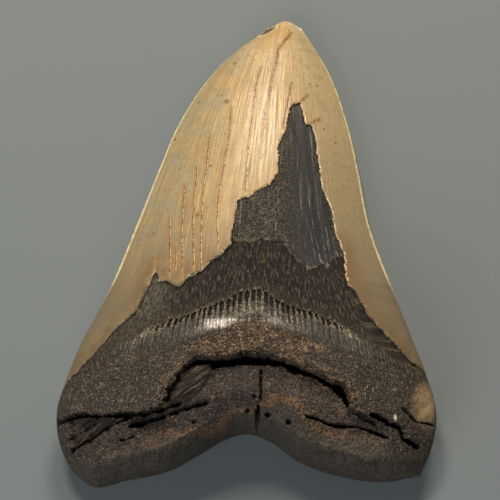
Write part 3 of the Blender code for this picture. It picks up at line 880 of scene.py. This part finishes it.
def torus(tree, sources):
    """The swelling below the lip: warm brown, with pale grains."""
    return tissue(tree, sources, "#140d09", 0.6, ("grain", 0.7), [
        ("#4b3b30", 1.0, ("grain", 0.43, 0.6)),
        ("#0c0806", 0.6, ("clouds", 0.46, 0.34)),
        # painted light: the right part of the torus lighter, lifting the lip's shadow there
        ("#6b5847", 0.8, ("band_along", 4, 14), ("grain", 0.42, 0.6)),
        ("#080504", 0.6, ("fine_sand", 0.3, 0.1)),
        ("#9c8778", 0.6, ("fine_sand", 0.84, 0.97), ("mottle", 0.4, 0.56)),
    ])


def layered_tissue(tree, sources):
    """Broken root tissue in the pocket below the lip and in the crack's wedge: thin brown layers."""
    return tissue(tree, sources, "#33281f", 0.7, ("grain", 0.6), [
        ("#5b4837", 1.0, ("grain", 0.42, 0.6)),
        # painted shade: near-black in the hollows between the layers
        ("#0b0705", 0.95, ("layers", 0.3, -0.3, 0.3)),
        ("#7a6650", 0.8, ("layers", 0.4, 0.9, 0.3), ("fine_sand", 0.3, 0.7)),
        # painted shade: darker far below the root's margin, under the ledge of the main left crack
        ("#2b231c", 0.6, ("below_margin", 12, 15)),
    ])


def basal_face(tree, sources):
    """The smoother dark face under the root."""
    return tissue(tree, sources, "#231e18", 0.65, ("mottle", 0.9), [
        ("#463e32", 1.0, ("clouds", 0.35, 0.65)),
        ("#5c5141", 0.6, ("grain", 0.45, 0.58)),
        ("#0f0c0a", 0.6, ("fine_sand", 0.3, 0.1)),
    ])


def tooth_material():
    """Mineralised enamel, dentine and root, as the ground left them.

    The eye sees a thin clear gloss on honey-coloured enamel, broken away over dull dark tissue
    with a grain like fine sandstone.
    """
    material = bpy.data.materials.new("mineralised enamel, dentine and root")
    material.use_nodes = True
    tree = material.node_tree
    sources = find_sources(tree)
    layers = [
        (lower_dentine(tree, sources), 1.0, ("below_fracture", -0.1, 0.4, 0.5)),
        (("#978a72", 0.7, 0.2), 0.9, ("fracture", 0.45, 0.1, 0.5), ("grain", 0.4, 0.56)),
        (("#8c7f68", 0.6, 0.3), 0.8, ("below_band", -0.8, -0.2, 0.5), ("grain", 0.42, 0.56),
         ("from_middle", 38, 26)),
        (bourlette(tree, sources), 1.0, ("below_band", -0.1, 0.15, 0.2)),
        # painted highlight: a pale, glossier patch in the middle of the bourlette, below the comb
        (glossy_band_painted_highlight(tree, sources), 1.0, ("y", -27.6, -28.8, 2), ("y", -31.8, -30.4, 2),
         ("band_along", -13, -8), ("band_along", 10, 3), ("mottle", 0.3, 0.5)),
        (spongy_tissue(tree, sources), 1.0, ("below_band", 8, 10, 2), ("from_middle", 27, 18, 4)),
        (root(tree, sources), 1.0, ("below_margin", -0.2, 0.4, 0.5)),
        (torus(tree, sources), 1.0, ("hollow", -0.3, 0.5, 0.4)),
        (layered_tissue(tree, sources), 1.0, ("pocket", -0.3, 0.8)),
        (spongy_tissue(tree, sources), 1.0, ("from_lip", 3.8, 1.2, 2), ("gap", 0.6, 0.2),
         ("pocket", 0.8, 0)),
        (("#6c5237", 0.7, 0.25), 0.8, ("ochre", 1.9, 0.2, 1.5), ("grain", 0.4, 0.6),
         ("above_edge", 10, 15, 2)),
        (("#815c36", 0.7, 0.25), 0.7, ("ochre", 1.8, 0.2, 1.8), ("grain", 0.42, 0.58),
         ("y", -60, -57), ("from_middle", 30, 18), ("mottle", 0.36, 0.5)),
        (basal_face(tree, sources), 1.0, ("basal", 0.5, 2.2, 0.8)),
        (("#ab926d", 0.6, 0.2), 0.9, ("right_lobe", 1.2, 0.3, 0.5), ("above_edge", 1, 5, 1)),
        # painted shade: near-black inside the root's cracks and pores
        (("#060504", 0.9, 0.0), 1.0, ("crack", 0.1, -0.3)),
        # painted shade: near-black in the gap under the lip, except in the pocket
        (("#060504", 0.9, 0.0), 1.0, ("gap", 0.4, 1.2), ("pocket", 0.6, -0.4)),
        (("#ded8c8", 0.3, 0.3), 0.9, ("fleck", 1.1, 0.7, 0.5)),
        (("#a09480", 0.6, 0.2), 0.8, ("comb", 0.05, 0.2), ("grain", 0.38, 0.5)),
        # painted shade: near-black inside the comb's pits
        (("#0b0805", 0.9, 0.0), 1.0, ("comb", 0.35, 0.6)),
        # painted shadow: a dark line on the dentine just inside the enamel's broken edge
        (("#0c0906", 0.9, 0.0), 0.7, ("bare", 0.4, 0.15, 0.15)),
        (enamel(tree, sources), 1.0, ("bare", 0.06, 0.0)),
        (("#e6cfa6", 0.5, 0.0), 0.8, ("bare", -0.3, -0.15, 0.12), ("bare", 0.05, 0.0), ("up", 0.4, 0.9),
         ("y", -18, -13), ("dashes", 0.42, 0.52)),
    ]
    finish = dentine(tree, sources)
    for over, most, *conditions in layers:
        finish = cover(tree, sources, finish, over, *conditions, most=most)

    colour, roughness, height = finish
    shader = tree.nodes["Principled BSDF"]
    bump = add(tree, "ShaderNodeBump", {"Height": height, "Distance": MM, "Strength": 1.0})
    tree.links.new(colour, shader.inputs["Base Color"])
    tree.links.new(roughness, shader.inputs["Roughness"])
    tree.links.new(bump, shader.inputs["Normal"])
    shader.inputs["IOR"].default_value = 1.55
    return material


def main():
    bpy.context.scene.view_settings.view_transform = "Standard"
    make_camera()
    make_stage()
    make_lights()
    tooth = make_tooth()
    tooth.data.materials.append(tooth_material())
    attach(tooth, "root")
    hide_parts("tooth")


main()
